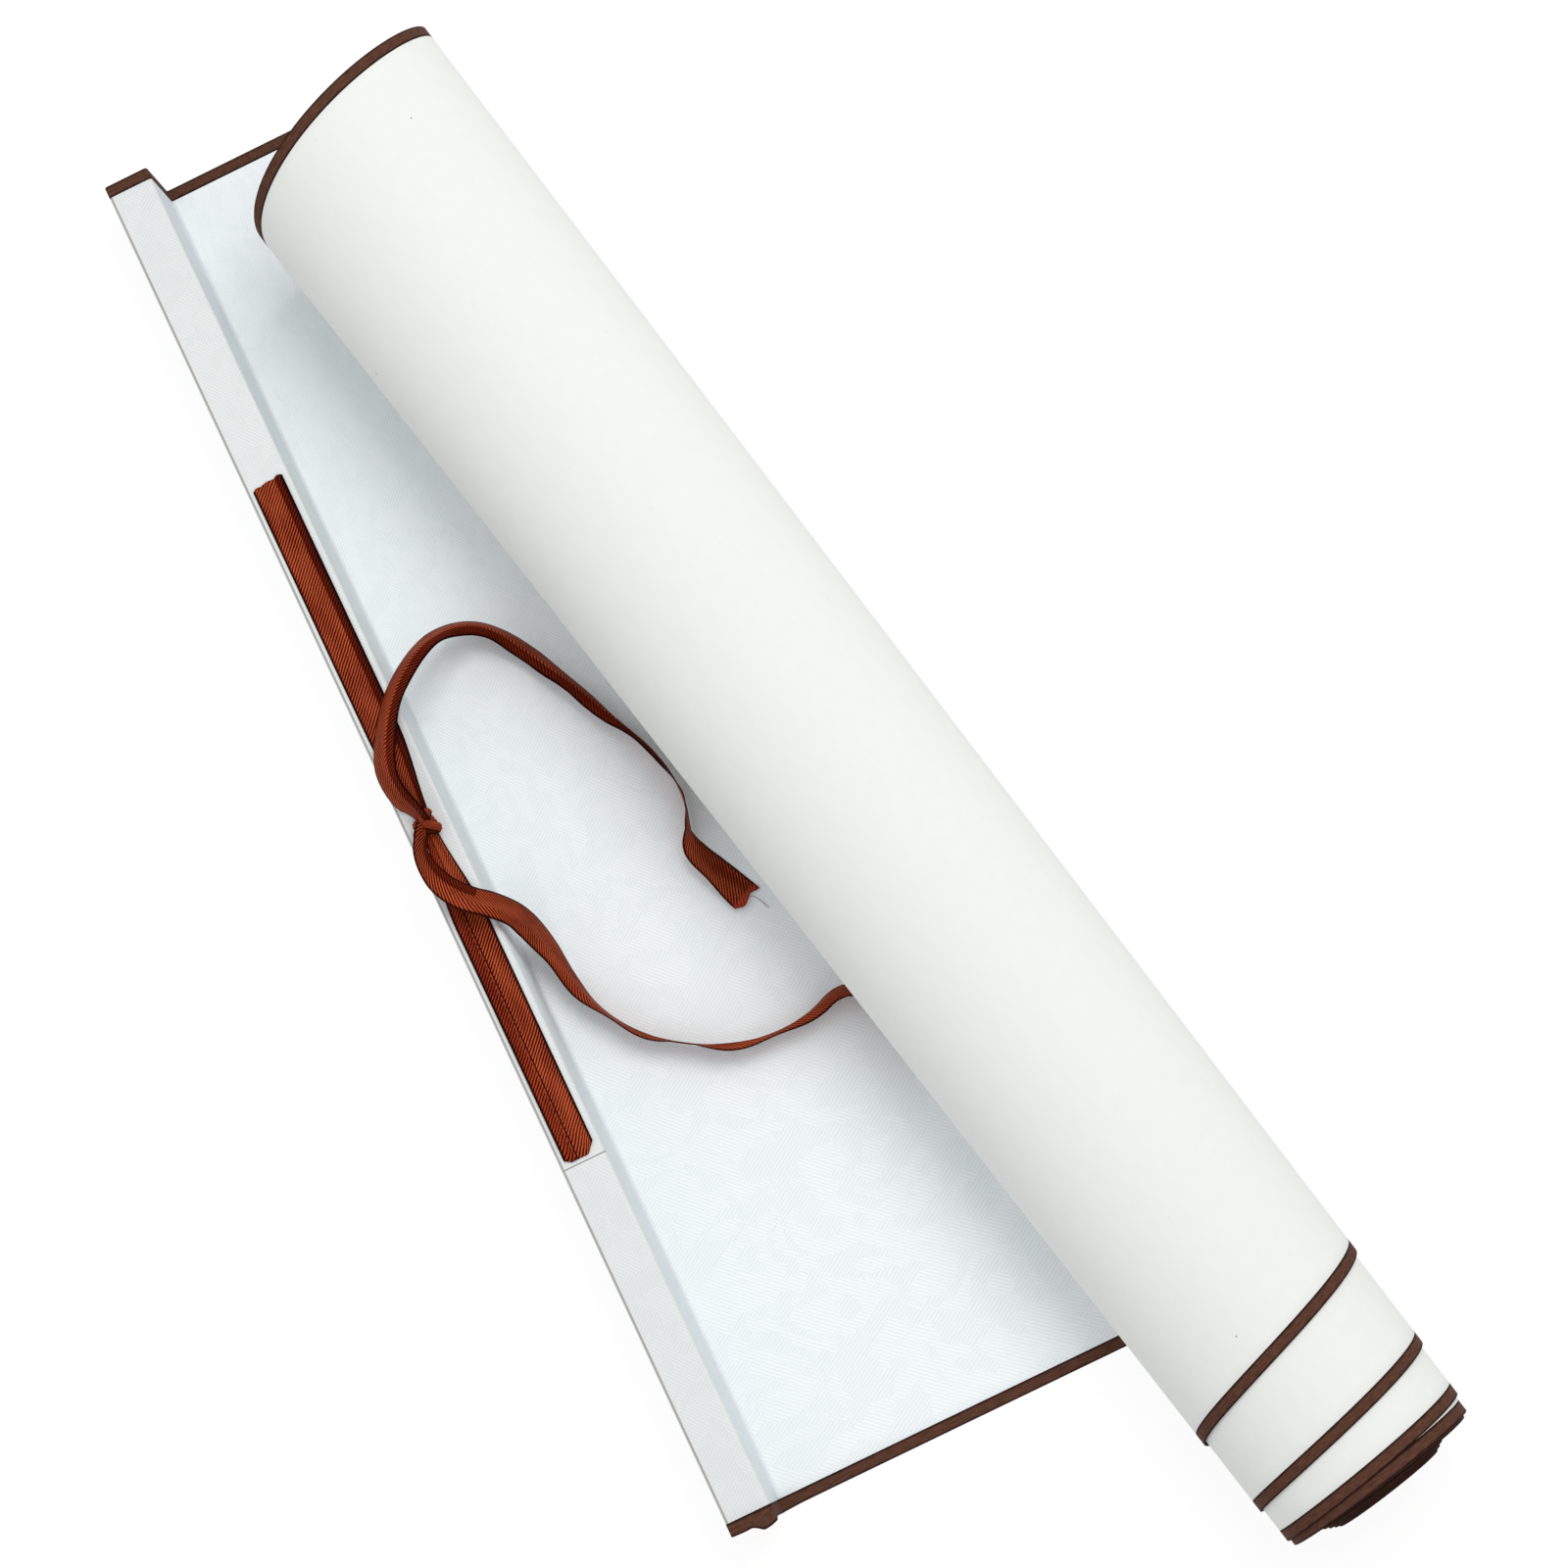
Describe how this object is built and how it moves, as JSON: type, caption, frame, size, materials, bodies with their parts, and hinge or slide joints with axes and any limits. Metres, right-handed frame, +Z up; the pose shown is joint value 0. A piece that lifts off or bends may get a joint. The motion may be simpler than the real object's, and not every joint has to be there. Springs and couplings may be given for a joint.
{
  "type": "paper scroll",
  "caption": "Blank hanging scroll lying face up, rolled most of the way to its wrapped top stave, the roll askew and stepping out at one end, with a hanging ribbon and loose tie tails.",
  "frame": {"origin": "on the floor under the roll, where the line it rests on crosses the middle of the sheet's width", "axes": "+X from the top stave to the roll, square to the stave; +Y along the stave, towards the roll's flush end; +Z up"},
  "size_m": [0.2061, 0.5219, 0.0752],
  "materials": {
    "sheet": "matte",
    "binding": "matte",
    "wood": "matte",
    "ribbon": "satin"
  },
  "bodies": {
    "root": {"scroll_sheet": "sheet", "edge_binding_upper": "binding", "edge_binding_lower": "binding", "top_stave": "wood", "bottom_rod": "wood", "hanging_ribbon": "ribbon", "tie_knot": "ribbon", "tie_tail_a": "ribbon", "tie_tail_b": "ribbon"}
  },
  "joints": []
}
